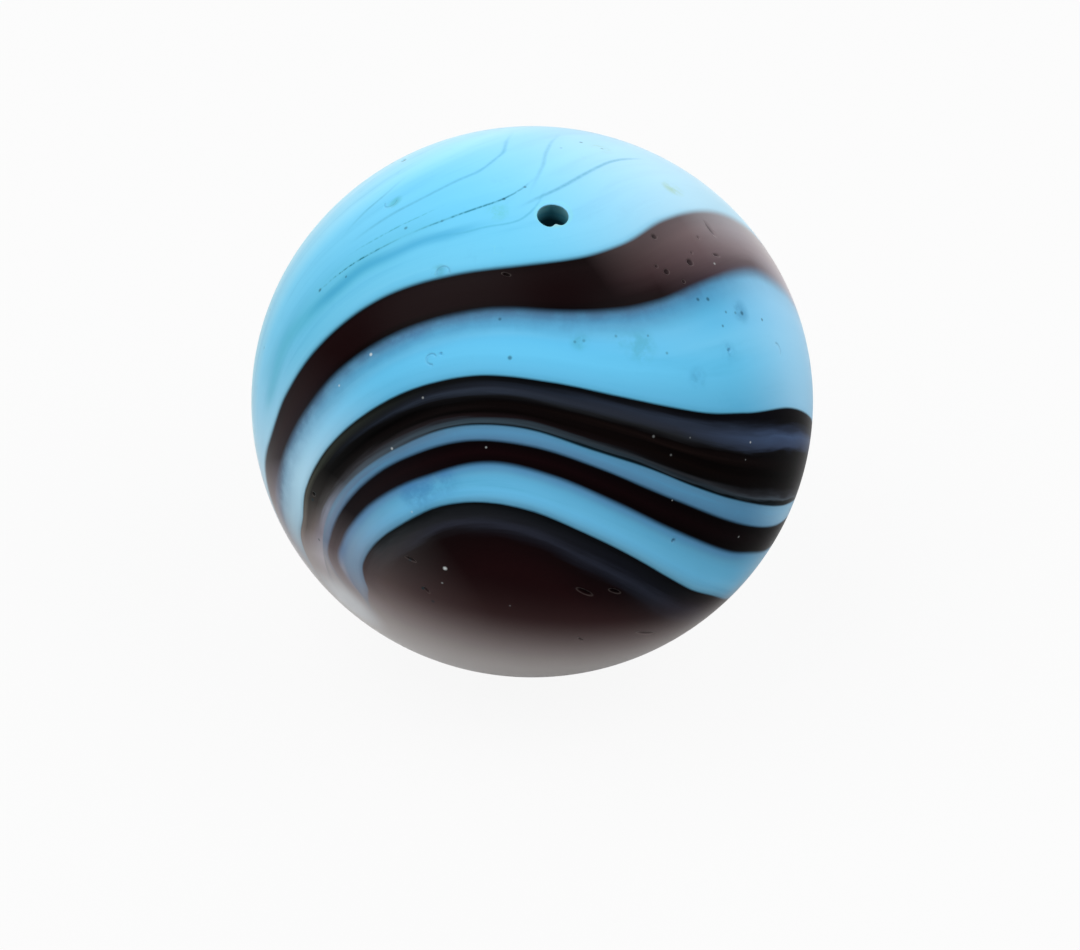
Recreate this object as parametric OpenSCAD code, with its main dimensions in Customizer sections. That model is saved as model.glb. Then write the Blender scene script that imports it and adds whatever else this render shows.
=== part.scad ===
// Handmade slag glass marble, a shooter of about an inch, slightly out of round.
// Millimetres. The ball is centred on the origin with its short axis along Z.
//
// A place on its skin is [azimuth, elevation] in degrees: azimuth 0 faces -Y and
// grows towards +X, elevation 0 is the widest circle and 90 is the top.

/* [Ball] */
// Width across the widest circle
ball_w = 25; // [14:0.5:50]
// Height along the short axis
ball_h = 24.3; // [14:0.1:50]

/* [Open bubble] */
// Width of the round mouth where an air bubble broke through the skin
mouth_w = 1.2; // [0.4:0.1:3]
// How far the round hollow reaches behind the lip, all the way round
undercut = 0.2; // [0.05:0.05:0.5]
// Azimuth of the mouth
bubble_az = 15; // [-180:1:180]
// Elevation of the mouth
bubble_el = 74; // [-85:1:85]

/* [Wear] */
// Depth of the little pits, as a share of their width
pit_dip = 0.35; // [0.1:0.05:0.4]
// Depth of the longer nicks
nick_dip = 0.08; // [0.03:0.01:0.15]
// Width of the fine groove round a bruise
bruise_w = 0.08; // [0.04:0.01:0.15]

/* [Hidden] */

// Pits left by tiny burst bubbles: azimuth, elevation, width
PITS = [
    [58, 60.5, 0.30],
    [61, 52, 0.36],
    [50, 53.5, 0.30],
    [48, 55.5, 0.20],
    [65, 53, 0.16],
    [74, 53.5, 0.18],
    [53, 50, 0.20],
    [-48, 5, 0.24],
    [28, 3, 0.20],
    [-125, 56, 0.26],
    [53, 34, 0.20],
    [-24, 42, 0.16]
];

// Nicks struck by other marbles: azimuth, elevation, length, width, turn from level
NICKS = [
    [83, 51.5, 0.95, 0.30, -127],
    [-10, 60, 0.44, 0.16, -12],
    [10, -5, 0.94, 0.24, -38],
    [16, -6, 0.70, 0.20, -35],
    [25, -23, 1.30, 0.20, -33],
    [73, 48.5, 0.46, 0.14, -50],
    [-24, 0, 0.60, 0.16, -15],
    [-21, -7, 0.46, 0.16, -52],
    [10, -20, 0.46, 0.16, -51]
];

// Moon-shaped bruises: azimuth, elevation, width, sweep, turn of the open side
BRUISES = [
    [-26, 40.5, 0.44, 230, 60],
    [-34, 57.5, 0.56, 200, 20],
    [-86, 60.5, 0.60, 180, 250],
    [69, 26, 0.60, 120, 300]
];

// Distance from the middle to the skin at an elevation
function skin_r(el) = 1 / sqrt(pow(cos(el) * 2 / ball_w, 2) + pow(sin(el) * 2 / ball_h, 2));

// Radius of the circle that dips this deep below a line and is this wide on it
function dip_r(width, dip) = (width * width / 4 + dip * dip) / (2 * dip);

// Elevation at which the skin faces there, which the flattening tips away from the elevation itself
function facing(el) = atan2(sin(el) / pow(ball_h, 2), cos(el) / pow(ball_w, 2));

// Puts children on the skin, their +Z square to it and their +Y up towards the top
module on_skin(az, el) {
    rotate([0, 0, az])
        translate([0, -skin_r(el) * cos(el), skin_r(el) * sin(el)])
            rotate([90 - facing(el), 0, 0]) children();
}

// The whole ball, before anything marked it
module ball() {
    scale([ball_w, ball_w, ball_h]) sphere(d = 1, $fn = 128);
}

// The round hollow of the burst bubble, wider behind its lip than at its mouth
module open_bubble() {
    hollow_r = mouth_w / 2 + undercut;
    sunk = sqrt(pow(hollow_r, 2) - pow(mouth_w / 2, 2));
    translate([0, 0, -sunk]) sphere(r = hollow_r, $fn = 48);
}

// A shallow round dish, cut by a sphere laid on its side so that its poles stay clear of the rim
module pit(width) {
    dip = width * pit_dip;
    round_r = dip_r(width, dip);
    translate([0, 0, round_r - dip]) rotate([90, 0, 0]) sphere(r = round_r, $fn = 24);
}

// A nick, as the rounded rim of a small wheel would cut it
module nick(length, width, turn) {
    wheel_r = dip_r(length, nick_dip);
    rim_r = dip_r(width, nick_dip);
    rotate([0, 0, turn])
        translate([0, 0, wheel_r - nick_dip])
            rotate([90, 0, 0])
                rotate_extrude($fn = 64) translate([wheel_r - rim_r, 0]) circle(r = rim_r, $fn = 24);
}

// A bruise, a fine groove that goes part of the way round a circle
module bruise(width, sweep, turn) {
    rotate([0, 0, turn])
        rotate_extrude(angle = sweep, $fn = 48) translate([width / 2, 0]) circle(d = bruise_w, $fn = 16);
}

module marble() {
    color("mediumturquoise")
        difference() {
            ball();
            on_skin(bubble_az, bubble_el) open_bubble();
            for (p = PITS) on_skin(p[0], p[1]) pit(p[2]);
            for (n = NICKS) on_skin(n[0], n[1]) nick(n[2], n[3], n[4]);
            for (b = BRUISES) on_skin(b[0], b[1]) bruise(b[2], b[3], b[4]);
        }
}

marble();
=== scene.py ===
"""The finish of a handmade slag glass marble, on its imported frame.

Lengths are millimetres until a mesh is made. A place on the skin is (azimuth, elevation) in degrees:
azimuth 0 faces -Y and grows towards +X, and elevation 90 is the top.
"""

import math

import bmesh
import bpy
import numpy as np
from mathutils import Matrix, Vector


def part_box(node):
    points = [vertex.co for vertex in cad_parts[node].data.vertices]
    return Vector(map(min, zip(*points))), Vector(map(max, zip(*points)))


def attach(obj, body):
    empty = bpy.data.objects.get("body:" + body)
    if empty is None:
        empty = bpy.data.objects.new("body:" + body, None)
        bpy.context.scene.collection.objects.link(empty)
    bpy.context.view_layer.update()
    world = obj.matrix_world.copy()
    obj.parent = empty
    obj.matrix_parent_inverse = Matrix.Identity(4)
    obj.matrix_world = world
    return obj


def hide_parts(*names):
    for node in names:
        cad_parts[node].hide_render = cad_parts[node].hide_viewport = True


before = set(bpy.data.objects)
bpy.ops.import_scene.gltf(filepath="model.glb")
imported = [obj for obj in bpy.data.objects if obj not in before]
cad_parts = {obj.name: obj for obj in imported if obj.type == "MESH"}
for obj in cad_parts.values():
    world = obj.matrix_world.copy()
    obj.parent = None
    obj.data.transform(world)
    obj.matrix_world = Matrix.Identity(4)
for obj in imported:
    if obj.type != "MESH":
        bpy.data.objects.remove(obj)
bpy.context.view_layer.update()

MM = 0.001
LOW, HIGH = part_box("marble")
SEMI = (np.array(HIGH) - np.array(LOW)) / 2 / MM  # half widths of the ball along X, Y and Z
ROUND = float(SEMI.mean())  # radius that stands for the ball where its flattening doesn't matter
FAR_SIDE = -2.0  # a point this far below the level of a mark is on another side of the ball

# ---------------------------------------- the open bubble and the wear

BUBBLE = (15, 74)
MOUTH_W = 1.2
UNDERCUT = 0.2  # how far the wall reaches behind the lip
LIP_ROUND = 0.04  # fire-polished edge of the mouth
LIP_BAND = 0.09  # width of the ring of net that is laid on the lip
BEAD_TURN = -90  # direction on the skin in which a bead of glass hangs into the mouth
BEAD_HALF = 17  # degrees to either side
BEAD_OUT = 0.2  # how far it stands out from the wall
BEAD_DEEP = 0.22

PIT_DIP = 0.35  # share of the width
NICK_DIP = 0.08
BRUISE_W = 0.08
SOFT_RIM = 0.012  # length over which the rims of the marks are rounded
RIM_LIFT = 0.6  # share of it by which that rounding would sink the skin beside a mark

# azimuth, elevation, width
PITS = [
    (58, 60.5, 0.3), (61, 52, 0.36), (50, 53.5, 0.3), (48, 55.5, 0.2), (65, 53, 0.16), (74, 53.5, 0.18),
    (53, 50, 0.2), (-48, 5, 0.24), (28, 3, 0.2), (-125, 56, 0.26), (53, 34, 0.2), (-24, 42, 0.16),
]
# azimuth, elevation, length, width, turn from level
NICKS = [
    (83, 51.5, 0.95, 0.3, -127), (-10, 60, 0.44, 0.16, -12), (10, -5, 0.94, 0.24, -38),
    (16, -6, 0.7, 0.2, -35), (25, -23, 1.3, 0.2, -33), (73, 48.5, 0.46, 0.14, -50),
    (-24, 0, 0.6, 0.16, -15), (-21, -7, 0.46, 0.16, -52), (10, -20, 0.46, 0.16, -51),
]
# azimuth, elevation, width, sweep, turn of the open side
BRUISES = [
    (-26, 40.5, 0.44, 230, 60), (-34, 57.5, 0.56, 200, 20), (-86, 60.5, 0.6, 180, 250),
    (69, 26, 0.6, 120, 300),
]

# ---------------------------------------- the swirl of the slag

# The glass was wound on a rod, so its bands run round the ball from one pole to the other.
NEAR_POLE = (-44, -23.5)
FAR_POLE = (122, -28)
ZERO_MARK = (2.6, 55.5)  # the turn round the near pole is counted from this place
FLOW_RUN = 1.4  # length that one unit of run counts for in a pattern, short so that it is drawn out
FIELD_REACH = 3.0  # how far to either side the place of an edge or a thread is kept

# The top and the low edge of each ribbon, [(run, turn), ...]: run is the log of the distance from the
# near pole, and turn is in degrees.
RIBBONS = {
    "oxblood": (
        [(-2, -112), (-1.5, -84), (-1.12, -57.5), (-1, -45.3), (-0.8, -34.6), (-0.62, -27.1),
         (-0.38, -17.3), (-0.25, -11.1), (-0.12, -5.5), (0, -2.1), (0.1, -1.3), (0.25, -2.9), (0.5, -4.3),
         (0.65, -3.8), (1, 0), (2, 20)],
        [(-2, -90), (-1.5, -66.1), (-1.25, -45.9), (-1.05, -34.7), (-0.88, -27.1), (-0.62, -17.8),
         (-0.38, -8.7), (-0.25, -3.1), (-0.12, 3.3), (0, 6.9), (0.1, 8.1), (0.25, 7.7), (0.5, 7.2),
         (0.65, 8.8), (1, 13), (2, 38)],
    ),
    "black": (
        [(-2, -62), (-1.74, -46.9), (-1.55, -34.6), (-1.25, -25.5), (-1, -17.8), (-0.75, -10),
         (-0.5, -1.7), (-0.38, 3.3), (-0.25, 10.4), (-0.12, 17.2), (0, 22.2), (0.1, 25.5), (0.25, 28.5),
         (0.5, 31.1), (0.78, 35.8), (1, 40), (2, 62)],
        [(-2, -24), (-1.5, -15), (-1.25, -10.6), (-1, -5.2), (-0.75, 1), (-0.5, 8.5), (-0.38, 14.5),
         (-0.25, 23), (-0.12, 30.1), (0, 36.4), (0.1, 40.8), (0.25, 46.1), (0.5, 52.8), (0.68, 56.2),
         (1, 62), (2, 84)],
    ),
    "narrow": (
        [(-2.6, 8), (-2.3, -8), (-2, -15.8), (-1.5, -10.2), (-1.25, -6.3), (-1, -1.9), (-0.75, 3.7),
         (-0.5, 11.8), (-0.38, 18.2), (-0.25, 26.5), (-0.12, 34.4), (0, 40.7), (0.17, 48.3), (0.34, 54),
         (0.5, 58.2), (0.65, 61), (1, 67), (2, 89)],
        [(-2.6, 60), (-2.4, 36), (-2.25, 14), (-2, -1.1), (-1.5, -2.4), (-1.25, 0.6), (-1, 4.4),
         (-0.75, 9.9), (-0.5, 17.4), (-0.38, 24.7), (-0.25, 33.6), (-0.12, 41.9), (0, 48.4), (0.17, 56.2),
         (0.34, 61.7), (0.5, 66.7), (1, 76), (2, 98)],
    ),
    "mass": (
        [(-2.6, 64), (-2.4, 46), (-2.1, 31), (-1.95, 26), (-1.82, 19), (-1.65, 13.3), (-1.5, 11.7),
         (-1.25, 11.7), (-1, 14.1), (-0.75, 18), (-0.62, 22.3), (-0.5, 28.5), (-0.38, 36.8),
         (-0.25, 45.8), (-0.1, 56.2), (0, 62.4), (0.17, 70.7), (0.34, 79.8), (0.6, 92), (1, 104),
         (2, 130)],
        [(-2, 190), (-1, 186), (0, 182), (1, 194), (2, 218)],
    ),
    "back": (
        [(-2, 224), (-1, 222), (0, 220), (1, 236), (2, 262)],
        [(-2, 236), (-1, 236), (0, 238), (1, 256), (2, 282)],
    ),
}

# Thin threads of darker glass drawn out along the flow, each [(run, turn), ...]
THREADS = {
    "thread_a": [(-0.46, -32.2), (-0.42, -30.4), (-0.37, -28), (-0.31, -25), (-0.26, -22.8),
                 (-0.2, -20.6)],
    "thread_b": [(-0.24, -21.9), (-0.16, -18.8), (-0.1, -17), (-0.03, -15.4), (0.04, -15.6), (0.1, -17)],
    "thread_c": [(-0.19, -16.8), (-0.16, -15.1), (-0.12, -13.6), (-0.05, -11.2), (0, -11.6),
                 (0.05, -13.2)],
    "thread_d": [(-0.3, -30.4), (-0.21, -27.3), (-0.12, -24.4), (-0.05, -23), (0, -22.2), (0.05, -22.8),
                 (0.09, -23.8), (0.12, -25.5), (0.18, -28.6)],
    "thread_e": [(-0.26, -33.2), (-0.22, -32.8), (-0.15, -31.8), (-0.1, -31.6)],
    "thread_f": [(-0.34, -29.5), (-0.28, -26.4), (-0.24, -24.7), (-0.18, -22.4), (-0.12, -20.6)],
    "thread_g": [(-0.05, -13), (0, -12.8), (0.09, -12.7), (0.18, -13.7), (0.26, -14.9), (0.36, -15.6)],
    "thread_h": [(0.02, -14), (0.06, -15.6), (0.11, -17.7), (0.15, -19.9), (0.24, -24)],
    "streak": [(-0.75, -41), (-0.59, -35.9), (-0.52, -31.8), (-0.44, -28), (-0.35, -24.5), (-0.29, -21.3),
               (-0.23, -18.8), (-0.17, -16), (-0.1, -13.6), (0, -11.4)],
}

# Turquoise ground by its share of the way round, from the middle of the back band
GROUND = [(0, "#74bfdc"), (0.15, "#89c9e5"), (0.25, "#a4dcec"), (0.29, "#70c4e6"), (0.325, "#66badd"),
          (0.35, "#66b8d9"), (0.385, "#4a94ba"), (0.397, "#58afd9"), (0.41, "#60b9e0"), (0.424, "#5aaad0"),
          (0.46, "#5a7a97"), (0.478, "#527390"), (0.498, "#5887a7"), (0.51, "#63b2d9"), (0.525, "#6bc0ea"),
          (0.542, "#6196b7"), (0.86, "#66b4d8"), (1, "#74bfdc")]

# Thread, half width, darkness, colour, the runs where it begins and ends, and how far it is broken up
# into dots. The wide ones are clouds and cores that follow the same course.
THREAD_LOOKS = [
    ("thread_a", 1, 0.22, "#50a6be", -0.8, -0.12, 0),
    ("streak", 0.8, 0.5, "#48a6c0", -0.9, -0.25, 0),
    ("streak", 0.5, 0.62, "#3a94be", -0.56, -0.08, 0),
    ("thread_a", 0.09, 0.9, "#1f6d80", -0.47, -0.22, 0.8),
    ("thread_b", 0.09, 0.8, "#26748a", -0.26, 0.08, 0.5),
    ("thread_c", 0.1, 0.45, "#3f93b4", -0.22, 0.08, 0.2),
    ("thread_d", 0.15, 0.55, "#4c98ba", -0.32, 0.2, 0.2),
    ("thread_e", 0.16, 0.5, "#4c98ba", -0.3, -0.06, 0.2),
    ("thread_f", 0.07, 0.6, "#3f93ac", -0.36, -0.1, 0.8),
    ("thread_g", 0.15, 0.62, "#4c90ae", -0.05, 0.4, 0.2),
    ("thread_h", 0.14, 0.5, "#5c9cba", 0, 0.28, 0.2),
]
THREAD_WAVE = 0.10  # millimetres that a thread wanders
THREAD_FADE = 0.12  # run over which its ends fade

# Halos outside a band, where its colour has bled into the ground: field part (0 top, 1 low), width in
# millimetres, strength and colour
HALOS = {
    "oxblood": [(1, 1.4, 0.72, "#3c6c92"), (1, 0.55, 0.5, "#40485c"), (0, 0.35, 0.35, "#4a8aa8")],
    "black": [(0, 0.3, 0.3, "#3f86a4"), (1, 0.3, 0.35, "#44748c")],
    "narrow": [(0, 0.35, 0.5, "#4a6c8c"), (1, 0.55, 0.5, "#4a7fb0")],
    "mass": [(0, 0.3, 0.4, "#3a7896")],
    "back": [(0, 0.5, 0.4, "#4a7fb0"), (1, 0.5, 0.4, "#4a7fb0")],
}

# Colours across each band, at several runs
PALETTES = {
    "oxblood": [
        (-1.4, [(0, "#5a5052"), (0.5, "#766c70"), (1, "#8a8896")]),
        (-1.1, [(0, "#181214"), (0.5, "#2a1f21"), (1, "#262026")]),
        (-0.6, [(0, "#050303"), (0.15, "#150607"), (0.75, "#140607"), (0.9, "#060202"), (1, "#030202")]),
        (0, [(0, "#0c0707"), (0.2, "#120a0b"), (0.5, "#0f0506"), (0.8, "#0c0304"), (1, "#030102")]),
        # From run 0.12 on, towards the upper right, the oxblood is painted lighter and greyer: a painted sheen         of the light from behind, over the band's own near-black maroon
        (0.12, [(0, "#423839"), (0.3, "#3d3132"), (0.55, "#342628"), (0.8, "#190c0e"), (1, "#090405")]),
        (0.3, [(0, "#50474a"), (0.3, "#615355"), (0.6, "#58494c"), (0.85, "#46393d"), (1, "#352b33")]),
        (0.5, [(0, "#848489"), (0.3, "#8a8489"), (0.6, "#7e7377"), (0.85, "#5e5357"), (1, "#4e4a58")]),
        (0.85, [(0, "#b4adad"), (0.5, "#b0a5a8"), (1, "#bbbbc8")]),
    ],
    "black": [
        (-2, [(0, "#938e8c"), (0.3, "#a5a1a1"), (0.6, "#b7b5b9"), (1, "#d2d2db")]),
        (-1.6, [(0, "#545450"), (0.1, "#76716a"), (0.3, "#54504b"), (0.6, "#78716f"), (1, "#9593a0")]),
        (-1.3, [(0, "#353733"), (0.08, "#51514a"), (0.25, "#2e2c2a"), (0.55, "#312e2c"),
                (0.75, "#535151"), (0.9, "#878d9c"), (1, "#7e8798")]),
        (-1.05, [(0, "#0c100e"), (0.1, "#30342e"), (0.26, "#0c0c0b"), (0.5, "#010101"), (0.62, "#0c0a0a"),
                (0.7, "#161414"), (0.86, "#3a3a3e"), (1, "#56626e")]),
        (-0.5, [(0, "#020304"), (0.08, "#06080a"), (0.2, "#12151c"), (0.3, "#252c38"), (0.38, "#0a0a0c"),
                (0.5, "#020101"), (0.62, "#0c0707"), (0.7, "#020101"), (0.8, "#181012"),
                (0.86, "#28323a"), (0.93, "#33424c"), (0.98, "#0c141a"), (1, "#0c2028")]),
        (0, [(0, "#020203"), (0.08, "#0a0c12"), (0.16, "#262e3c"), (0.27, "#262a34"), (0.37, "#1e2023"),
                (0.45, "#060303"), (0.52, "#140c0b"), (0.6, "#040202"), (0.7, "#0c0605"),
                (0.82, "#050404"), (0.885, "#26282c"), (0.93, "#1c2228"), (0.955, "#28323a"),
                (0.975, "#03090c"), (1, "#04141a")]),
        (0.5, [(0, "#08060c"), (0.12, "#050406"), (0.19, "#273145"), (0.26, "#405373"), (0.36, "#37445e"),
                (0.42, "#08070a"), (0.55, "#0a0606"), (0.65, "#030202"), (0.8, "#0c090a"),
                (0.885, "#26282e"), (0.93, "#4a545e"), (0.955, "#10181c"), (0.975, "#02080a"),
                (1, "#0a1a22")]),
    ],
    "narrow": [
        (-2.3, [(0, "#a09ca0"), (0.5, "#98969c"), (1, "#a4a4aa")]),
        (-1.7, [(0, "#5a5456"), (0.5, "#544e50"), (1, "#645e62")]),
        (-1.2, [(0, "#100c10"), (0.5, "#181214"), (1, "#181418")]),
        (-0.6, [(0, "#030203"), (0.5, "#120507"), (1, "#060304")]),
        (0.5, [(0, "#030203"), (0.5, "#0c0406"), (1, "#020101")]),
    ],
    "mass": [
        (-2.3, [(0, "#8d8585"), (0.4, "#938b8b"), (1, "#938b8b")]),
        (-1.8, [(0, "#3c3838"), (0.15, "#4c4646"), (0.4, "#5a5250"), (1, "#5c5250")]),
        (-1.3, [(0, "#14191a"), (0.12, "#34373a"), (0.25, "#403e40"), (0.4, "#3a3434"), (1, "#382e2e")]),
        (-0.9, [(0, "#04080a"), (0.08, "#16191b"), (0.2, "#24262a"), (0.3, "#2c2e38"), (0.38, "#181416"),
                (0.5, "#140809"), (1, "#1e0b0d")]),
        (-0.3, [(0, "#020304"), (0.1, "#101217"), (0.22, "#14161e"), (0.33, "#272b38"), (0.43, "#1a1b24"),
                (0.53, "#140a0c"), (1, "#240d10")]),
        (0.3, [(0, "#030405"), (0.12, "#101216"), (0.26, "#16181f"), (0.38, "#262a34"), (0.5, "#2e3440"),
                (0.62, "#201f25"), (0.8, "#1a1012"), (1, "#261214")]),
    ],
    "back": [
        (0, [(0, "#040203"), (0.5, "#150607"), (1, "#040203")]),
    ],
}

# Widths of the top and the low edge in millimetres, what the palette counts across (the share of the
# band, or the way below its top edge), the runs of the fade towards the pole, and how many times softer
# the edges are at the band's ends
BAND_EDGES = {
    "oxblood": ((0.28, 0.4), "share", (-1.7, -1.35), 2.8),
    "black": ((0.14, 0.12), "share", (-2.7, -2.2), 1.0),
    "narrow": ((0.2, 0.3), "share", (-3.0, -2.6), 1.0),
    "mass": ((0.14, 0.4), "below", (-2.8, -2.2), 1.0),
    "back": ((0.3, 0.3), "share", (-1.7, -1.3), 1.5),
}
BAND_MIDDLE = -0.4  # run at which the edges are sharpest
STREAK_SHIFT = 0.14  # share of the band by which drawn streaks shift its colours
FINE_SHIFT = 0.10
EDGE_WAVE = 0.12  # millimetres that an edge wanders

# ---------------------------------------- specks and stains

# azimuth, elevation, width, strength
DARK_SPECKS = [
    (-123.8, 56.8, 0.34, 0.8), (143.6, 72.9, 0.24, 0.6), (146.3, 79.3, 0.18, 0.35),
    (130.1, 71.1, 0.2, 0.45), (53.1, 45.6, 0.24, 0.6), (56.3, 44.4, 0.26, 0.65), (64.1, 37.5, 0.28, 0.6),
    (62, 38.6, 0.2, 0.4), (69.7, 33, 0.2, 0.6), (55.3, 38.5, 0.18, 0.55), (59.1, 40.1, 0.18, 0.5),
    (-5.8, 43.2, 0.26, 0.6), (-9.7, 50.6, 0.2, 0.5), (-47.8, 5.2, 0.26, 0.95), (-48.2, 3.6, 0.2, 0.7),
    (-47.1, -5.7, 0.22, 0.5), (27.9, 2.9, 0.2, 0.95), (-24.1, -0.2, 0.2, 0.7), (-21.7, -6.7, 0.24, 0.8),
    (-19.9, -9.8, 0.22, 0.5), (11.7, 45.9, 0.18, 0.4), (14.2, 45.9, 0.2, 0.35), (35.5, 39.5, 0.18, 0.4),
    (32.3, 43.9, 0.16, 0.4), (23.4, 45.6, 0.18, 0.35), (-90.7, 22.8, 0.2, 0.35), (-81.5, 19.2, 0.2, 0.3),
    (-71.2, 39.9, 0.26, 0.6), (-66, 46, 0.18, 0.5), (-63.7, 61.2, 0.24, 0.5), (-52.2, 67.1, 0.2, 0.4),
    (-27.5, 78, 0.22, 0.65), (-10.7, 82.6, 0.2, 0.55), (150, 10, 0.24, 0.5), (-150, -5, 0.22, 0.5),
    (110, -20, 0.24, 0.5), (170, -40, 0.2, 0.5), (-120, -30, 0.24, 0.4),
]
PALE_SPECKS = [
    (-16.9, -0.3, 0.26, 0.85), (-17.6, -4.1, 0.14, 0.35), (-23.9, 10.7, 0.14, 0.35),
    (-9.7, 26, 0.13, 0.35), (-25.5, 33.1, 0.14, 0.3), (-42.5, 37.2, 0.2, 0.7), (-47.5, 28.8, 0.14, 0.5),
    (26.2, 25.3, 0.17, 0.15), (29.3, 20.8, 0.15, 0.12), (49.6, 15.6, 0.14, 0.5), (34.5, 22.7, 0.11, 0.15),
    (47.3, 12.9, 0.1, 0.2), (28.2, 11.8, 0.1, 0.3), (44.6, -3.7, 0.15, 0.3), (-4.4, -8.1, 0.12, 0.2),
    (69, 48, 0.16, 0.35), (-30, 22, 0.16, 0.5),
]
# azimuth, elevation, width, strength, colour: patches that the mottle of the glass breaks up
STAINS = [
    (97.3, 60.2, 1.4, 0.36, "#8fae80"), (-84.9, 61.3, 1, 0.3, "#3f9aa0"),
    (29.2, 42.4, 1.9, 0.22, "#3c8a96"), (24, 45, 1.2, 0.19, "#3c8a96"), (13, 45.9, 1.1, 0.25, "#3f90a0"),
    (52.5, 33.8, 1.3, 0.25, "#3a7fae"), (41, 32.7, 1.2, 0.28, "#3f86b4"), (64, 38, 1.4, 0.31, "#3f80a8"),
    (-26, 74.2, 1.4, 0.25, "#52a896"), (-38.3, 42.8, 1.4, 0.3, "#4a78ac"),
    (-33.7, 44.9, 1.3, 0.28, "#4a78ac"), (-23.6, 15.4, 2.4, 0.32, "#3a76b0"),
    (-18.7, 18.5, 2, 0.28, "#3a76b0"), (-36, 57.4, 0.9, 0.4, "#4a94a8"),
    (130.1, 71.1, 1.4, 0.35, "#8fb4a0"),
]
STAIN_LIFT = 1.6  # makes up for what the mottle takes away

# Painted reflection of the bright table, low on the ball where it is seen at a grazing angle (the
# first two), and the pale glass on the near pole (the last): azimuth, elevation, outer and inner reach,
# share, colour
PAINTED_HAZE_AND_PALE_POLE = [
    (-55, -74, 15.8, 10.5, 0.58, "#7a5c5c"), (-67, -79, 15.0, 10.3, 0.95, "#c4bfbd"),
    (-44, -23.5, 2.2, 0.5, 0.75, "#e8ecf0"),
]
# Painted light and shade down the bubble, pale high on its wall where light comes through the thin lip
# and dark deeper in, where shade falls, and how much of them one millimetre of depth takes
BUBBLE_SHADE = [(0, "#ace8ee"), (0.3, "#86c8d2"), (0.5, "#448494"), (0.72, "#0c2e38"), (1, "#031418")]
BUBBLE_SHADE_RATE = 0.75

# ---------------------------------------- the view

VIEW_EL = 35.0
VIEW_OUT = 134.1  # from the middle of the ball
LENS = 100.0  # focal length
AIM_TURN = 0.18  # degrees that the camera looks past the middle of the ball, to its right
AIM_DROP = 1.40  # and below it
SEEN_WHITE = 0.92  # share of plain white in the floor that the camera sees
# The softboxes: name, azimuth, elevation, side in metres, radiance
LAMPS = [("key", -70, 60, 0.36, 4.0), ("fill", 74, 46, 0.30, 3.8), ("back", 158, 22, 0.30, 2.5),
         ("window", 200, 10, 0.26, 1.4)]
LAMP_OUT = 0.40  # metres from the middle of the ball
ROOM_LIGHT = 0.176


def linear(code, alpha=1.0):
    """Linear colour from an sRGB hex code."""
    levels = [int(code[i:i + 2], 16) / 255 for i in (1, 3, 5)]
    return tuple(v / 12.92 if v <= 0.04045 else ((v + 0.055) / 1.055) ** 2.4 for v in levels) + (alpha,)


def towards(az, el):
    """Unit vector: east times cos(el) sin(az), less north times cos(el) cos(az), and up times sin(el)."""
    az, el = math.radians(az), math.radians(el)
    return np.array([math.sin(az) * math.cos(el), -math.cos(az) * math.cos(el), math.sin(el)])


def unit(v):
    """Vectors over their own lengths."""
    return v / np.linalg.norm(v, axis=-1, keepdims=True)


def wrap(degrees):
    """The same angle from -180 to 180."""
    return (degrees + 180) % 360 - 180


# ---------------------------------------- the skin and its marks

def skin(directions):
    """The point of the ball in each direction: the direction over the length that it has when each
    part is measured in the half width along its own axis."""
    return directions / np.linalg.norm(directions / SEMI, axis=-1, keepdims=True)


def facing(points):
    """The way the skin faces at each of its points: each part over the square of its half width."""
    return unit(points / SEMI ** 2)


def on_skin(az, el):
    """The point of the skin at a place, in metres."""
    return tuple(skin(towards(az, el)) * MM)


def local_frame(az, el):
    """A mark's middle on the skin and its axes there: east along the skin, up along it, and outwards."""
    middle = skin(towards(az, el))
    out = facing(middle)
    east = np.array([math.cos(math.radians(az)), math.sin(math.radians(az)), 0.0])
    return middle, east, np.cross(out, east), out


def on_mark(points, az, el, turn=0.0):
    """Coordinates of points in a mark's own frame, turned about its outward axis: along, across, out."""
    middle, east, up, out = local_frame(az, el)
    c, s = math.cos(math.radians(turn)), math.sin(math.radians(turn))
    rel = points - middle
    return rel @ (c * east + s * up), rel @ (c * up - s * east), rel @ out


def dip_radius(width, dip):
    """Radius of the circle that dips this deep below a line and is this wide on it."""
    return (width * width / 4 + dip * dip) / (2 * dip)


def soft_positive(depth, soft):
    """Depth where it is above 0 and 0 elsewhere, with the corner rounded over the length soft."""
    return (depth + np.sqrt(depth * depth + soft * soft)) / 2


def pit_depth(x, y, z, width):
    """A dish cut by a sphere: the height of the sphere's underside below the skin."""
    dip = width * PIT_DIP
    radius = dip_radius(width, dip)
    inside = np.sqrt(np.maximum(radius ** 2 - x * x - y * y, 0))
    return np.where((inside > 0) & (z > FAR_SIDE), inside - (radius - dip), -dip)


def nick_depth(x, y, z, length, width):
    """A groove cut by the round rim of a small wheel: the rim's half thickness across the groove gives
    the wheel's reach there, and that reach gives the depth along the groove."""
    wheel, rim = dip_radius(length, NICK_DIP), dip_radius(width, NICK_DIP)
    reach = wheel - rim + np.sqrt(np.maximum(rim * rim - y * y, 0))
    depth = np.sqrt(np.maximum(reach * reach - x * x, 0)) - (wheel - NICK_DIP)
    return np.where((abs(y) < rim) & (abs(x) < length) & (z > FAR_SIDE), depth, -NICK_DIP)


def bruise_depth(x, y, z, width, sweep):
    """A half-round groove along an arc: the root of its radius squared less the distance from the arc
    squared. Beyond the groove it falls on slowly below 0."""
    angle = np.degrees(np.arctan2(y, x)) % 360
    past = np.minimum(np.maximum(angle - sweep, 0), 360 - angle) * (angle > sweep)
    along = np.radians(past) * width / 2
    off = np.hypot(np.hypot(x, y) - width / 2, along)
    radius = BRUISE_W / 2
    depth = np.sqrt(np.maximum(radius ** 2 - off ** 2, 0)) - 0.2 * np.maximum(off - radius, 0)
    return np.where(z > FAR_SIDE, depth, -1.0)


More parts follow.
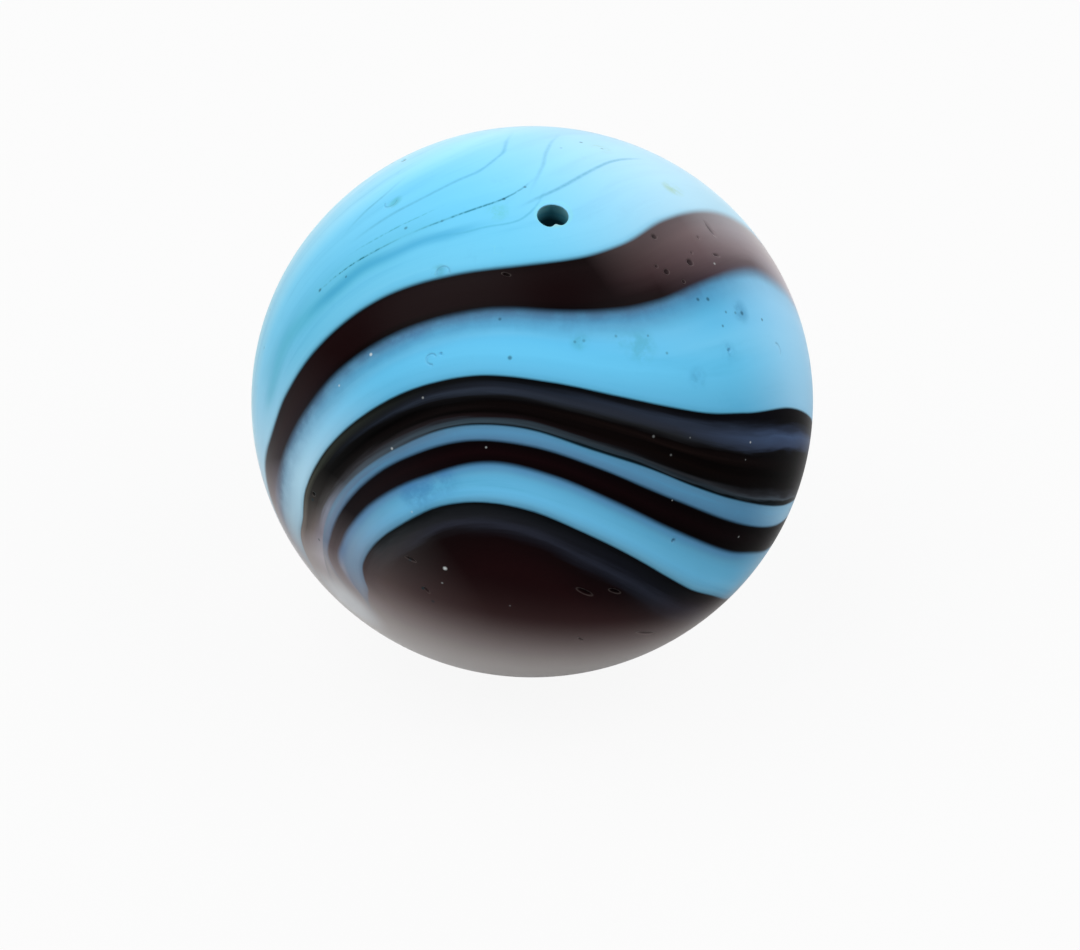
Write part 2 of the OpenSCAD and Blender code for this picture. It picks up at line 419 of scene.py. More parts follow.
def mark_depths(points):
    """For each mark, how far it dips below the skin at each point, and less than 0 outside it."""
    depths = [pit_depth(*on_mark(points, az, el), width) for az, el, width in PITS]
    for az, el, length, width, turn in NICKS:
        depths.append(nick_depth(*on_mark(points, az, el, turn), length, width))
    for az, el, width, sweep, turn in BRUISES:
        depths.append(bruise_depth(*on_mark(points, az, el, turn), width, sweep))
    return depths


def mark_distance(points):
    """Distance from each point to the nearest mark's outline, less than 0 inside it."""
    nearest = np.full(len(points), np.inf)
    for az, el, width in PITS:
        x, y, z = on_mark(points, az, el)
        nearest = np.minimum(nearest, np.sqrt(x * x + y * y + z * z) - width / 2)
    for az, el, length, width, turn in NICKS:
        x, y, z = on_mark(points, az, el, turn)
        past = np.maximum(abs(x) - length / 2, 0)
        nearest = np.minimum(nearest, np.sqrt(past * past + y * y + z * z) - width / 2)
    for az, el, width, _, _ in BRUISES:
        x, y, z = on_mark(points, az, el)
        nearest = np.minimum(nearest, np.sqrt((np.hypot(x, y) - width / 2) ** 2 + z * z) - BRUISE_W / 2)
    return nearest


# ---------------------------------------- the net of the ball

NET = 100  # cells along one side of a net
MAP_RIM = 0.005  # share of a net's square on the map that is left free along each side
REFINE_MARKS = [0.5, 0.24, 0.1]  # how far outside a mark each halving of the net reaches
REFINE_MOUTH = [(0, 1.35), (0, 1.05), (0, 0.85), (0.5, 0.74)]  # rings round the bubble where it is halved

VIEW_WAY = towards(0, VIEW_EL)
EAST = np.array([1.0, 0.0, 0.0])
VIEW_UP = np.cross(VIEW_WAY, EAST)
# Six square nets like the faces of a cube: the way out, the way across, and on the flat map their
# left and low corner and their side
SIDES = [
    (VIEW_WAY, EAST, (0.0, 0.0, 0.62)),
    (VIEW_UP, EAST, (0.0, 0.64, 0.31)),
    (-VIEW_UP, EAST, (0.33, 0.64, 0.31)),
    (EAST, -VIEW_WAY, (0.66, 0.0, 0.31)),
    (-EAST, VIEW_WAY, (0.66, 0.33, 0.31)),
    (-VIEW_WAY, -EAST, (0.66, 0.66, 0.31)),
]


def square_nets():
    """Directions and cells of the six nets. Point (a, b) of a net lies towards out + tan(a) across
    + tan(b) up, with a and b from -45 to 45 degrees; nets share the points along their sides."""
    steps = np.tan(np.radians(np.linspace(-45, 45, NET + 1)))
    a, b = np.meshgrid(steps, steps, indexing="ij")
    corner = np.arange((NET + 1) ** 2).reshape(NET + 1, NET + 1)
    cell = np.stack([corner[:-1, :-1], corner[1:, :-1], corner[1:, 1:], corner[:-1, 1:]], -1).reshape(-1, 4)
    ways = [unit(out + a[..., None] * across + b[..., None] * np.cross(out, across)).reshape(-1, 3)
            for out, across, _ in SIDES]
    cells = np.concatenate([cell + k * (NET + 1) ** 2 for k in range(len(SIDES))])
    ways = np.concatenate(ways)
    _, first, same = np.unique(np.round(ways, 6), axis=0, return_index=True, return_inverse=True)
    return ways[first], same.reshape(-1)[cells]


def read(mesh, kind, field, width, dtype=np.float64):
    """One field of a mesh's elements as an array with width columns."""
    items = getattr(mesh, kind)
    values = np.zeros(len(items) * width, dtype)
    items.foreach_get(field, values)
    return values.reshape(-1, width)


def halve(mesh, wanted):
    """Cuts every edge of the wanted faces in two and nets the new points, in the mesh itself."""
    work = bmesh.new()
    work.from_mesh(mesh)
    work.faces.ensure_lookup_table()
    chosen = {edge for i in np.flatnonzero(wanted) for edge in work.faces[i].edges}
    chosen = sorted(chosen, key=lambda edge: edge.index)
    bmesh.ops.subdivide_edges(work, edges=chosen, cuts=1, use_grid_fill=True)
    work.to_mesh(mesh)
    work.free()


def net_mesh(name):
    """The six nets as one closed mesh of unit radius, halved again and again near the marks."""
    ways, cells = square_nets()
    mesh = bpy.data.meshes.new(name)
    mesh.from_pydata(ways.tolist(), [], cells.tolist())
    for level, (inner, outer) in enumerate(REFINE_MOUTH):
        centre = skin(unit(read(mesh, "polygons", "center", 3)))
        x, y, z = on_mark(centre, *BUBBLE)
        away = np.sqrt(x * x + y * y + z * z)
        wanted = (away > inner) & (away < outer)
        if level < len(REFINE_MARKS):
            wanted |= mark_distance(centre) < REFINE_MARKS[level]
        halve(mesh, wanted)
    return mesh


def hollow(points):
    """Carries the points near the bubble onto its profile, and gives the depth of each below the mouth
    and its share of the bead.

    The profile runs from the lip's outer edge round a small arc, then down the wall of a sphere that
    is wider than the mouth, to its bottom. A point's distance from the bubble's axis says how far
    along the profile it goes, and its turn round the axis stays. A bead of glass that fades with
    depth and with the turn away from it pushes the wall inwards."""
    middle, east, up, out = local_frame(*BUBBLE)
    x, y, z = on_mark(points, *BUBBLE)
    away, turn = np.hypot(x, y), np.arctan2(y, x)
    radius = MOUTH_W / 2 + UNDERCUT
    sunk = math.sqrt(radius ** 2 - (MOUTH_W / 2) ** 2)
    fall = (MOUTH_W / 2) ** 2 / (2 * ROUND)
    lip_z = -fall - LIP_ROUND
    lip_r = math.sqrt((radius + LIP_ROUND) ** 2 - (lip_z + sunk) ** 2)
    lean = math.atan2(lip_z + sunk, lip_r)
    inside = (away < lip_r) & (z > FAR_SIDE)
    on_lip = np.clip((lip_r - away) / LIP_BAND, 0, 1)
    on_wall = np.clip((lip_r - LIP_BAND - away) / (lip_r - LIP_BAND), 0, 1)
    arc = math.pi / 2 + on_lip * (math.pi / 2 + lean)
    wall = math.pi / 2 - lean + on_wall * (math.pi / 2 + lean)
    at_lip = on_wall <= 0
    reach = np.where(at_lip, lip_r + LIP_ROUND * np.cos(arc), radius * np.sin(wall))
    height = np.where(at_lip, lip_z + LIP_ROUND * np.sin(arc), radius * np.cos(wall) - sunk)
    off = wrap(np.degrees(turn) - BEAD_TURN)
    bead = np.exp(-(off / BEAD_HALF) ** 2) * np.exp(-(height / BEAD_DEEP) ** 2) * np.clip(on_lip * 2, 0, 1)
    reach = reach - BEAD_OUT * bead
    spread = [reach * np.cos(turn), reach * np.sin(turn), height]
    moved = middle + np.stack(spread, 1) @ np.array([east, up, out])
    shaped = np.where(inside[:, None], moved, points)
    return shaped, np.where(inside, -height, 0.0), np.where(inside, bead, 0.0)


# ---------------------------------------- where the bands lie

def curve(knots, run):
    """A smooth curve through given knots and its slope: a cubic between two knots that leaves each
    with the slope found there from its neighbours, and a straight line beyond the ends."""
    x, y = np.array(knots, float).T
    slope = np.gradient(y, x)
    i = np.clip(np.searchsorted(x, run) - 1, 0, len(x) - 2)
    wide = x[i + 1] - x[i]
    t = (run - x[i]) / wide
    s = np.clip(t, 0, 1)
    value = ((2 * s ** 3 - 3 * s ** 2 + 1) * y[i] + (s ** 3 - 2 * s ** 2 + s) * wide * slope[i]
             + (3 * s ** 2 - 2 * s ** 3) * y[i + 1] + (s ** 3 - s ** 2) * wide * slope[i + 1])
    rate = (6 * s * (1 - s) * (y[i + 1] - y[i]) / wide + (3 * s ** 2 - 4 * s + 1) * slope[i]
            + (3 * s ** 2 - 2 * s) * slope[i + 1])
    return value + (t - s) * wide * np.where(t > 1, slope[i + 1], slope[i]), rate


def swirl(ways):
    """Run, turn and reach. The ball is made round, then laid flat from the far pole, which goes to
    infinity. Run is the log of the distance from the near pole there, turn the angle round it in
    degrees, and reach the millimetres on the ball of one unit of run, or of one radian of turn."""
    ball = unit(skin(ways) / SEMI)
    pole, near, zero = towards(*FAR_POLE), towards(*NEAR_POLE), towards(*ZERO_MARK)
    along = unit(near - (near @ pole) * pole)
    aside = np.cross(pole, along)

    def flat(v):
        return (v @ along + 1j * (v @ aside)) / np.maximum(1 - v @ pole, 1e-9)

    off = flat(ball) - flat(near)
    run = np.log(np.maximum(abs(off), 1e-6))
    turn = np.degrees(np.angle(off / (flat(zero) - flat(near))))
    return run, turn, ROUND * abs(off) * 2 / (1 + abs(flat(ball)) ** 2)


def band_field(run, turn, reach, top, low):
    """Millimetres below a band's top edge, millimetres above its low edge, and the share of the way
    across. A difference of turn is made a length by the reach and by the edge's slant to the flow. More
    than 90 degrees of turn outside the band, both lengths are as far below 0 as they go."""
    upper, upper_rate = curve(top, run)
    lower, lower_rate = curve(low, run)
    off = wrap(turn - (upper + lower) / 2)
    half = (lower - upper) / 2
    below = np.radians(off + half) * reach / np.hypot(1, np.radians(upper_rate))
    above = np.radians(half - off) * reach / np.hypot(1, np.radians(lower_rate))
    far = abs(off) > half + 90
    lengths = np.clip(np.where(far, -FIELD_REACH, [below, above]), -FIELD_REACH, FIELD_REACH)
    return np.stack([*lengths, np.clip(off / half / 2 + 0.5, -1, 2)], -1)


def thread_field(run, turn, reach, knots):
    """Millimetres across a thread, more than 0 below it."""
    middle, rate = curve(knots, run)
    across = np.radians(wrap(turn - middle)) * reach / np.hypot(1, np.radians(rate))
    return np.clip(across, -FIELD_REACH, FIELD_REACH)


def straightened(run, turn):
    """Turn with every band made straight, as a share of the way round from the middle of the back band:
    each edge has the turn that it has at run 0, and turn is shared out evenly between two edges."""
    *edges, back_top, back_low = [edge for pair in RIBBONS.values() for edge in pair]

    def turns_at(run):
        middle = (curve(back_top, run)[0] + curve(back_low, run)[0]) / 2
        return [middle - 360] + [curve(edge, run)[0] for edge in edges] + [middle]

    places = turns_at(run)
    homes = [float(place[0]) for place in turns_at(np.zeros(1))]
    turn = places[0] + (turn - places[0]) % 360
    result = np.full_like(turn, homes[0])
    for k in range(len(places) - 1):
        share = np.clip((turn - places[k]) / np.maximum(places[k + 1] - places[k], 0.5), 0, 1)
        result = np.where(turn >= places[k], homes[k] + share * (homes[k + 1] - homes[k]), result)
    return (result - homes[0]) / 360


def keep(mesh, name, values):
    """Keeps a vector for each vertex as an attribute that the glass reads."""
    made = mesh.attributes.new(name, "FLOAT_VECTOR", "POINT")
    made.data.foreach_set("vector", np.ascontiguousarray(values, np.float32).ravel())


def lay_map(mesh, ways):
    """A flat map of the ball: each of the six nets, in degrees across and up, fills its own square."""
    outs = np.array([out for out, _, _ in SIDES])
    side = (read(mesh, "polygons", "center", 3) @ outs.T).argmax(1)
    side = np.repeat(side, read(mesh, "polygons", "loop_total", 1, np.int32)[:, 0])
    corner = ways[read(mesh, "loops", "vertex_index", 1, np.int32)[:, 0]]
    spot = np.zeros((len(corner), 2))
    for k, (out, across, (left, low, wide)) in enumerate(SIDES):
        mine = side == k
        axes = np.stack([across, np.cross(out, across)])
        share = np.degrees(np.arctan2(corner[mine] @ axes.T, (corner[mine] @ out)[:, None])) / 90 + 0.5
        spot[mine] = (left, low) + wide * (MAP_RIM + (1 - 2 * MAP_RIM) * share)
    mesh.uv_layers.new(name="OFBake").data.foreach_set("uv", spot.astype(np.float32).ravel())


def make_marble():
    """The ball as one closed skin: the net laid on the flattened ball, sunk at each mark along the way
    it faces there, and drawn down into the open bubble. Its attributes say where each point lies in
    the swirl."""
    mesh = net_mesh("marble_ball")
    ways = unit(read(mesh, "vertices", "co", 3))
    points = skin(ways)
    depth = sum(soft_positive(mark, SOFT_RIM) for mark in mark_depths(points))
    depth = np.maximum(depth - RIM_LIFT * SOFT_RIM, 0)
    shaped, sunk, bead = hollow(points)
    shaped = shaped - depth[:, None] * facing(points)
    run, turn, reach = swirl(ways)
    straight = straightened(run, turn)
    lay_map(mesh, ways)
    mesh.vertices.foreach_set("co", (shaped * MM).astype(np.float32).ravel())
    keep(mesh, "lie", np.stack([run, straight, sunk], 1))
    angle = straight * 2 * math.pi
    keep(mesh, "flow", np.stack([run * FLOW_RUN, ROUND * np.cos(angle), ROUND * np.sin(angle)], 1))
    for name, (top, low) in RIBBONS.items():
        keep(mesh, name, band_field(run, turn, reach, top, low))
    across = [thread_field(run, turn, reach, knots) for knots in THREADS.values()]
    for k in range(0, len(across), 3):
        keep(mesh, f"threads_{k // 3}", np.stack(across[k:k + 3], 1))
    x, y, z = on_mark(points, *BUBBLE)
    near = (np.hypot(x, y) < FIELD_REACH) & (z > FAR_SIDE)
    keep(mesh, "mouth", np.stack([np.where(near, x, FIELD_REACH), np.where(near, y, FIELD_REACH), bead], 1))
    keep(mesh, "wear", np.stack([depth] * 3, 1))
    mesh.polygons.foreach_set("use_smooth", np.ones(len(mesh.polygons), bool))
    mesh.update()
    piece = bpy.data.objects.new("slag_glass_marble", mesh)
    bpy.context.scene.collection.objects.link(piece)
    return piece


# ---------------------------------------- glass

SMOOTH = {"interpolation_type": "SMOOTHSTEP"}


def add(tree, kind, settings=None, links=None):
    """Adds a node with its settings, where a name that isn't the node's own names one of its inputs
    and stops fill a colour ramp, and with links to its inputs."""
    node = tree.nodes.new("ShaderNode" + kind)
    for key, value in (settings or {}).items():
        if key == "stops":
            marks = node.color_ramp.elements
            marks.remove(marks[1])
            for place, code in value:
                mark = marks.new(place) if place > value[0][0] else marks[0]
                mark.position = place
                mark.color = linear(code)
        elif isinstance(key, str) and hasattr(node, key):
            setattr(node, key, value)
        else:
            node.inputs[key].default_value = value
    for key, source in (links or {}).items():
        tree.links.new(source, node.inputs[key])
    return node


def parts(tree, name):
    """The three parts of one of the ball's attributes."""
    whole = add(tree, "Attribute", {"attribute_name": name}).outputs["Color"]
    return add(tree, "SeparateXYZ", links={0: whole}).outputs


def lay_colour(tree, ground, code, *windows):
    """Lays one colour over the ground. Its share is the product of its windows, each of them (value,
    start, end, low, high): a smooth change from low where the value is start to high where it is end."""
    share = None
    for value, start, end, low, high in windows:
        shift = {"From Min": start, "From Max": end, "To Min": low, "To Max": high}
        window = add(tree, "MapRange", {**SMOOTH, **shift}, {0: value}).outputs[0]
        if share is not None:
            window = add(tree, "Math", {"operation": "MULTIPLY"}, {0: share, 1: window}).outputs[0]
        share = window
    return add(tree, "Mix", {"data_type": "RGBA", 7: linear(code)}, {0: share, 6: ground}).outputs[2]


def turquoise_ground(tree, cloud, mottle, streaks, run, straight):
    """Milky turquoise glass: its colour changes slowly across the swirl, clouds and drawn streaks of a
    deeper and a paler blue run through it, and it turns pale grey round the near pole, where the melts
    mixed. It is also painted paler at the top, towards the far end and on the left towards the near
    pole, as lit there."""
    colour = add(tree, "ValToRGB", {"stops": GROUND}, {0: straight}).outputs[0]
    above_oxblood, below_oxblood = (straight, 0.37, 0.36, 0, 1), (straight, 0.36, 0.37, 0, 1)
    above_black, below_black = (straight, 0.45, 0.44, 0, 1), (straight, 0.44, 0.45, 0, 1)
    above_narrow = (straight, 0.51, 0.50, 0, 1)
    layers = [
        ("#4a9fcc", (cloud, 0.48, 0.74, 0, 0.42)),
        ("#9adcf2", (cloud, 0.48, 0.26, 0, 0.35)),
        ("#4ea4cc", (streaks, 0.5, 0.74, 0, 0.35)),
        ("#55a0c8", (mottle, 0.58, 0.8, 0, 0.2)),
        # Painted light: the next three layers are paler where the lamps fall, at the top, towards the far end         and on the left
        ("#ccd8dc", above_oxblood, (run, -0.15, 0.45, 0, 0.46)),
        ("#a4d4f0", below_oxblood, (run, 0.2, 0.65, 0, 0.75)),
        ("#bee4f6", above_black, (run, -0.55, -1.25, 0, 0.85)),
        ("#98a2b6", below_black, (run, -0.75, -1.6, 0, 0.62)),
        ("#ccccd0", below_black, above_narrow, (run, -1.6, -2, 0, 0.85)),
        ("#d4dade", below_black, (run, -2.2, -3, 0, 1)),
    ]
    for code, *windows in layers:
        colour = lay_colour(tree, colour, code, *windows)
    return colour


def lay_patches(tree, ground, place, patches, *windows):
    """Lays round patches, each with its full share within its inner reach and gone at its outer one.
    Other windows may break them up."""
    for az, el, outer, inner, share, code in patches:
        off = add(tree, "VectorMath", {"operation": "DISTANCE", 1: on_skin(az, el)}, {0: place})
        near = (off.outputs["Value"], outer * MM, inner * MM, 0, share)
        ground = lay_colour(tree, ground, code, near, *windows)
    return ground


def lay_threads(tree, ground, run, straight, fine, grit):
    """Lays the threads: each is darkest along its middle, wanders a little, fades in and out along the
    flow, and is broken into dots by the grit. It is kept to its own side of the ball."""
    order = list(THREADS)
    for name, wide, dark, code, first, last, dots in THREAD_LOOKS:
        group, part = divmod(order.index(name), 3)
        across = parts(tree, f"threads_{group}")[part]
        wander = add(tree, "Math", {"operation": "MULTIPLY_ADD", 1: THREAD_WAVE}, {0: fine, 2: across})
        off = add(tree, "Math", {"operation": "SUBTRACT", 1: THREAD_WAVE / 2}, {0: wander.outputs[0]})
        off = add(tree, "Math", {"operation": "ABSOLUTE"}, {0: off.outputs[0]}).outputs[0]
        ground = lay_colour(tree, ground, code, (off, 0, wide, dark, 0), (straight, 0.6, 0.55, 0, 1),
                            (run, first, first + THREAD_FADE, 0, 1), (run, last, last - THREAD_FADE, 0, 1),
                            (grit, 0.36, 0.6, 1 - dots, 1 + 0.3 * dots))
    return ground


def lay_mouth_ring(tree, ground, x, y):
    """Lays a faint green ring of 0.74 mm radius round the bubble, a little off its middle."""
    place = add(tree, "CombineXYZ", links={0: x, 1: y}).outputs[0]
    off = add(tree, "VectorMath", {"operation": "DISTANCE", 1: (0.06, 0.10, 0.0)}, {0: place})
    off = off.outputs["Value"]
    return lay_colour(tree, ground, "#7cc6ca", (off, 0.62, 0.72, 0, 0.35), (off, 0.76, 0.86, 1, 0))


def lay_halos(tree, ground, name, run, mottle):
    """Lays the halos of a band: each is strongest at its edge and gone at its width, mottled, and weaker
    towards the far end. An edge's field passes 0 again half way round the ball, and there the other
    edge's keeps the halo off."""
    field = parts(tree, name)
    for part, width, strength, code in HALOS[name]:
        off = add(tree, "Math", {"operation": "ABSOLUTE"}, {0: field[part]})
        beyond = add(tree, "Math", {"operation": "MULTIPLY", 1: -1.0}, {0: field[1 - part]})
        off = add(tree, "Math", {"operation": "MAXIMUM"}, {0: off.outputs[0], 1: beyond.outputs[0]})
        ground = lay_colour(tree, ground, code, (off.outputs[0], 0, width, strength, 0),
                            (mottle, 0.3, 0.65, 0.75, 1.05), (run, 0.15, 0.45, 1, 0.3))
    return ground


def lay_band(tree, ground, name, streaks, fine):
    """Lays a band of one glass over another. Its palettes are (run, stops across the band), and those of
    two neighbouring runs are mixed between them. Stops count from the top edge to the low one, or over
    the first FIELD_REACH below the top edge. Drawn streaks make the edges wavy, and with fine grain they
    shift the colours. Both edges soften at the band's ends, and it fades out towards the pole."""
    softness, counted, fade, blurred = BAND_EDGES[name]
    palettes = PALETTES[name]
    run = parts(tree, "lie")[0]
    below, above, share = parts(tree, name)
    if counted == "below":
        share = add(tree, "Math", {"operation": "DIVIDE", 1: FIELD_REACH}, {0: below}).outputs[0]
    drawn = add(tree, "Math", {"operation": "MULTIPLY_ADD", 1: STREAK_SHIFT}, {0: streaks, 2: share})
    drawn = add(tree, "Math", {"operation": "MULTIPLY_ADD", 1: FINE_SHIFT}, {0: fine, 2: drawn.outputs[0]})
    middle = (STREAK_SHIFT + FINE_SHIFT) / 2
    drawn = add(tree, "Math", {"operation": "SUBTRACT", 1: middle}, {0: drawn.outputs[0]}).outputs[0]
    colour = add(tree, "ValToRGB", {"stops": palettes[0][1]}, {0: drawn}).outputs[0]
    for (left, _), (right, stops) in zip(palettes, palettes[1:]):
        near = add(tree, "MapRange", {"From Min": left, "From Max": right}, {0: run}).outputs[0]
        after = add(tree, "ValToRGB", {"stops": stops}, {0: drawn}).outputs[0]
        colour = add(tree, "Mix", {"data_type": "RGBA"}, {0: near, 6: colour, 7: after}).outputs[2]
    cover = add(tree, "MapRange", {**SMOOTH, "From Min": fade[0], "From Max": fade[1]}, {0: run}).outputs[0]
    end = add(tree, "Math", {"operation": "ADD", 1: -BAND_MIDDLE}, {0: run})
    end = add(tree, "Math", {"operation": "ABSOLUTE"}, {0: end.outputs[0]})
    blur = {"From Min": 0.5, "From Max": 1.0, "To Min": 1.0, "To Max": 1 / blurred}
    sharp = add(tree, "MapRange", {**SMOOTH, **blur}, {0: end.outputs[0]}).outputs[0]
    for edge, width in zip((below, above), softness):
        edge = add(tree, "Math", {"operation": "MULTIPLY"}, {0: edge, 1: sharp}).outputs[0]
        wavy = add(tree, "Math", {"operation": "MULTIPLY_ADD", 1: EDGE_WAVE}, {0: streaks, 2: edge})
        ends = {"From Min": (EDGE_WAVE - width) / 2, "From Max": (EDGE_WAVE + width) / 2}
        step = add(tree, "MapRange", {**SMOOTH, **ends}, {0: wavy.outputs[0]})
        cover = add(tree, "Math", {"operation": "MULTIPLY"}, {0: cover, 1: step.outputs[0]}).outputs[0]
    return add(tree, "Mix", {"data_type": "RGBA"}, {0: cover, 6: ground, 7: colour}).outputs[2]


def lay_specks(tree, ground, code, place, marks):
    """Lays many round specks of one colour: each has its strength at its middle and nothing at its rim,
    and where two meet the stronger one shows."""
    cover = None
    for az, el, width, strength in marks:
        off = add(tree, "VectorMath", {"operation": "DISTANCE", 1: on_skin(az, el)}, {0: place})
        shift = {"From Min": width * MM / 8, "From Max": width * MM / 2, "To Min": strength, "To Max": 0.0}
        speck = add(tree, "MapRange", {**SMOOTH, **shift}, {0: off.outputs["Value"]}).outputs[0]
        if cover is not None:
            speck = add(tree, "Math", {"operation": "MAXIMUM"}, {0: cover, 1: speck}).outputs[0]
        cover = speck
    return add(tree, "Mix", {"data_type": "RGBA", 7: linear(code)}, {0: cover, 6: ground}).outputs[2]


def slag_glass():
    """Opaque slag glass, hand wound from a turquoise and an oxblood melt, then worn to a satin: milky
    body colour, a weak broad gloss and a soft sheen towards the rim, bands with softly drawn edges.
    Painted into its colour are a painted reflection low on the ball, paler ground where the lamps
    fall, a painted sheen on the oxblood, and painted shade in the pits and down the bubble."""
    material = bpy.data.materials.new("slag_glass")
    material.use_nodes = True
    tree = material.node_tree
    tree.nodes.clear()
    place = add(tree, "TexCoord").outputs["Object"]
    flow = add(tree, "Attribute", {"attribute_name": "flow"}).outputs["Vector"]
    run, straight, sunk = parts(tree, "lie")
    # Drawn streaks 0.6 mm across, fine grain 0.2, clouds 3.6, mottle 0.9 and grit 0.2
    noises = []
    for vector, scale, detail, rough in ((flow, 1.6, 4, 0.62), (flow, 4.5, 2, 0.5), (flow, 0.28, 4, 0.55),
                                         (place, 1.1 / MM, 4, 0.65), (place, 5 / MM, 2, 0.6)):
        grain = {"Scale": scale, "Detail": detail, "Roughness": rough}
        noises.append(add(tree, "TexNoise", grain, {"Vector": vector}).outputs[0])
    streaks, fine, cloud, mottle, grit = noises

    colour = turquoise_ground(tree, cloud, mottle, streaks, run, straight)
    stains = [(az, el, width / 2, width / 8, share, code) for az, el, width, share, code in STAINS]
    colour = lay_patches(tree, colour, place, stains, (mottle, 0.36, 0.62, 0, STAIN_LIFT))
    colour = lay_threads(tree, colour, run, straight, fine, grit)
    x, y, bead = parts(tree, "mouth")
    colour = lay_mouth_ring(tree, colour, x, y)
    for name in RIBBONS:
        colour = lay_halos(tree, colour, name, run, mottle)
        colour = lay_band(tree, colour, name, streaks, fine)
    # painted reflection of the table low on the ball, and the pale glass on the near pole
    colour = lay_patches(tree, colour, place, PAINTED_HAZE_AND_PALE_POLE)
    colour = lay_specks(tree, colour, "#123038", place, DARK_SPECKS)
    colour = lay_specks(tree, colour, "#cfd6d6", place, PALE_SPECKS)

    # A mark has a faint pale rim, and is painted darker where it is deeper: painted shade in the hollow
    depth = parts(tree, "wear")[0]
    colour = lay_colour(tree, colour, "#8c8480", (depth, 0.003, 0.015, 0, 1), (depth, 0.05, 0.02, 0, 0.12))
    # painted shade: the deeper part of a mark is darkened
    worn = add(tree, "MapRange", {**SMOOTH, "From Min": 0.03, "From Max": 0.10, "To Max": 0.6}, {0: depth})
    colour = add(tree, "Mix", {"data_type": "RGBA", "blend_type": "MULTIPLY", 7: linear("#6a7276")},
                 {0: worn.outputs[0], 6: colour}).outputs[2]

    # Painted shade: the bubble darkens with its depth, and its bead is painted pale, as lit
    into = add(tree, "Math", {"operation": "MULTIPLY", 1: BUBBLE_SHADE_RATE}, {0: sunk})
    bubble_shade = add(tree, "ValToRGB", {"stops": BUBBLE_SHADE}, {0: into.outputs[0]}).outputs[0]
    deep = add(tree, "MapRange", {**SMOOTH, "From Min": 0.02, "From Max": 0.12}, {0: sunk}).outputs[0]
    colour = add(tree, "Mix", {"data_type": "RGBA"}, {0: deep, 6: colour, 7: bubble_shade}).outputs[2]
    colour = add(tree, "Mix", {"data_type": "RGBA", 7: linear("#8fb0b0")}, {0: bead, 6: colour}).outputs[2]

    satin = {"From Min": 0.3, "From Max": 0.7, "To Min": 0.33, "To Max": 0.40}
    rough = add(tree, "MapRange", {**SMOOTH, **satin}, {0: cloud})
    skin_grain = add(tree, "TexNoise", {"Scale": 9.0 / MM, "Detail": 2.0}, {"Vector": place})
    height = add(tree, "Math", {"operation": "MULTIPLY_ADD", 1: 0.5}, {0: skin_grain.outputs[0], 2: fine})
    bump = add(tree, "Bump", {"Strength": 0.12, "Distance": 0.01 * MM}, {"Height": height.outputs[0]})
    gloss = {"IOR": 1.5, "Specular IOR Level": 0.025, "Sheen Weight": 0.34, "Sheen Roughness": 0.24}
    glass = add(tree, "BsdfPrincipled", gloss,
                {"Base Color": colour, "Roughness": rough.outputs[0], "Normal": bump.outputs[0]})
    add(tree, "OutputMaterial", links={"Surface": glass.outputs[0]})
    return material


# ---------------------------------------- the studio

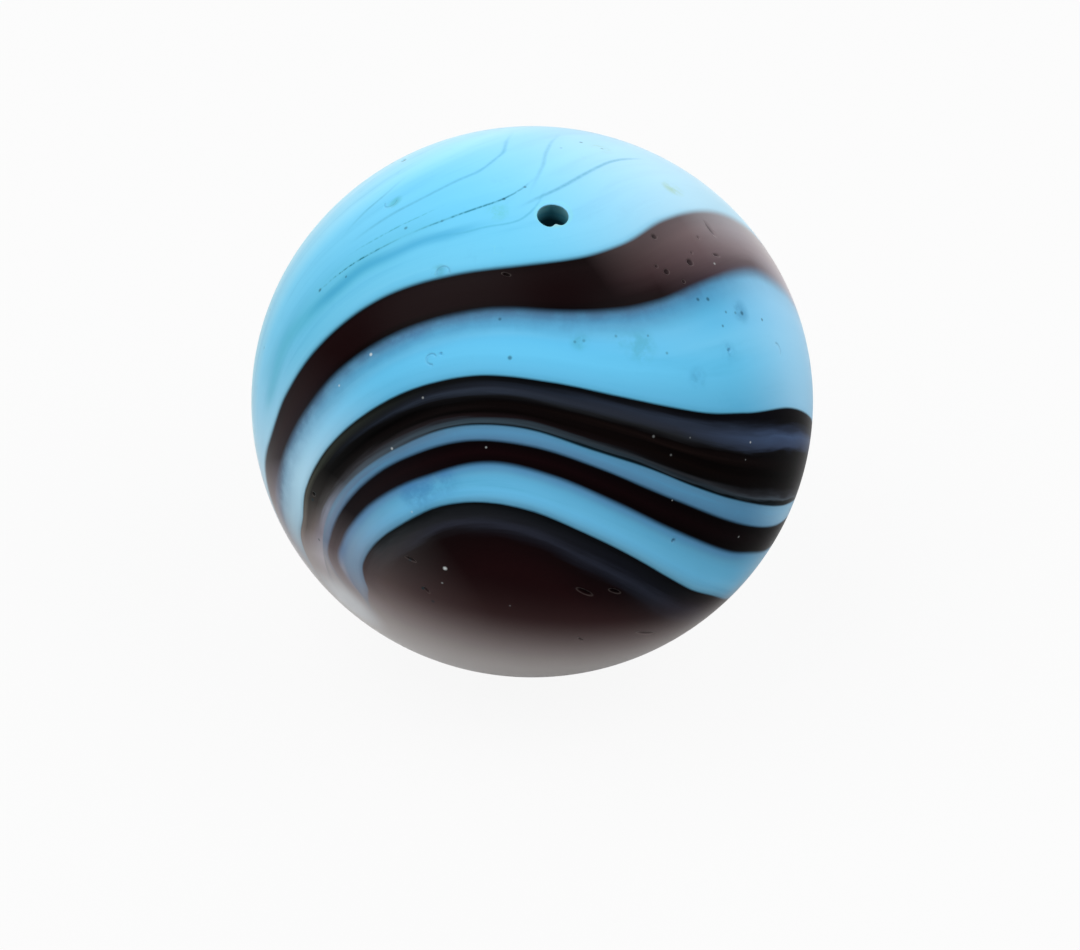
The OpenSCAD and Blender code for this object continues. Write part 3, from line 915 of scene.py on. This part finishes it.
def pale_floor(level):
    """A plain white table top, level with the lowest point of the ball. To the camera it is mostly plain
    white, so that the ball's shadow on it stays faint. In the glass it is white too, but for the part in
    front and to the right, which is painted darker: a painted shadow of the ball from the window behind."""
    half = 3.0  # metres
    mesh = bpy.data.meshes.new("floor")
    corners = [(x * half, y * half, level) for x, y in ((-1, -1), (1, -1), (1, 1), (-1, 1))]
    mesh.from_pydata(corners, [], [(0, 1, 2, 3)])
    floor = bpy.data.objects.new("floor", mesh)
    bpy.context.scene.collection.objects.link(floor)
    paint = bpy.data.materials.new("white_card")
    paint.use_nodes = True
    tree = paint.node_tree
    tree.nodes.clear()
    matt = {"Roughness": 0.9, "Specular IOR Level": 0.0}
    card = add(tree, "BsdfPrincipled", {"Base Color": linear("#b4b4b4"), **matt})
    shaded = add(tree, "BsdfPrincipled", {"Base Color": linear("#404040"), **matt})
    white = add(tree, "Emission", {"Color": linear("#ffffff"), "Strength": 1.0})
    seen = add(tree, "LightPath").outputs
    place = add(tree, "TexCoord").outputs["Object"]
    # Painted shadow: glossy rays see plain white only behind and to the left of the ball, and the darker     card elsewhere
    behind = add(tree, "VectorMath", {"operation": "DOT_PRODUCT", 1: (-0.8, 0.6, 0.0)}, {0: place})
    lit = add(tree, "MapRange", {**SMOOTH, "From Min": -10 * MM, "From Max": 4 * MM},
              {0: behind.outputs["Value"]})
    mirrored = add(tree, "Math", {"operation": "MULTIPLY"}, {0: seen["Is Glossy Ray"], 1: lit.outputs[0]})
    bright = add(tree, "Math", {"operation": "MULTIPLY_ADD", 1: SEEN_WHITE},
                 {0: seen["Is Camera Ray"], 2: mirrored.outputs[0]})
    card = add(tree, "MixShader", links={0: seen["Is Glossy Ray"], 1: card.outputs[0], 2: shaded.outputs[0]})
    mixed = add(tree, "MixShader", links={0: bright.outputs[0], 1: card.outputs[0], 2: white.outputs[0]})
    add(tree, "OutputMaterial", links={"Surface": mixed.outputs[0]})
    mesh.materials.append(paint)


def soft_lamp(name, az, el, size, radiance):
    """A square softbox aimed at the ball; its watts are its radiance times its area times pi."""
    light = bpy.data.lights.new(name, "AREA")
    light.size = size
    light.energy = radiance * size * size * math.pi
    lamp = bpy.data.objects.new(name, light)
    lamp.location = Vector(towards(az, el) * LAMP_OUT)
    lamp.rotation_euler = (-lamp.location).to_track_quat("-Z", "Y").to_euler()
    bpy.context.scene.collection.objects.link(lamp)


def room_light(strength):
    """Even light from all round, which the camera sees as plain white."""
    world = bpy.data.worlds.new("studio")
    bpy.context.scene.world = world
    world.use_nodes = True
    tree = world.node_tree
    tree.nodes.clear()
    seen = add(tree, "LightPath").outputs["Is Camera Ray"]
    level = add(tree, "MapRange", {"To Min": strength, "To Max": 1.0}, {0: seen})
    back = add(tree, "Background", {"Color": linear("#ffffff")}, {"Strength": level.outputs[0]})
    add(tree, "OutputWorld", links={"Surface": back.outputs[0]})


def set_camera():
    """A long lens that looks down on the ball from the front, aimed a little past its middle."""
    pitch, yaw = math.radians(VIEW_EL + AIM_DROP), math.radians(AIM_TURN)
    way = Vector((math.sin(yaw) * math.cos(pitch), math.cos(yaw) * math.cos(pitch), -math.sin(pitch)))
    lens = bpy.data.cameras.new("camera")
    lens.lens = LENS
    lens.clip_start = 0.01
    camera = bpy.data.objects.new("camera", lens)
    camera.location = Vector(VIEW_WAY * VIEW_OUT * MM)
    camera.rotation_euler = way.to_track_quat("-Z", "Y").to_euler()
    bpy.context.scene.collection.objects.link(camera)
    bpy.context.scene.camera = camera


set_camera()
marble = make_marble()
marble.data.materials.append(slag_glass())
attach(marble, "root")
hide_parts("marble")
pale_floor(LOW.z)
for softbox in LAMPS:
    soft_lamp(*softbox)
room_light(ROOM_LIGHT)
bpy.context.scene.view_settings.view_transform = "Standard"
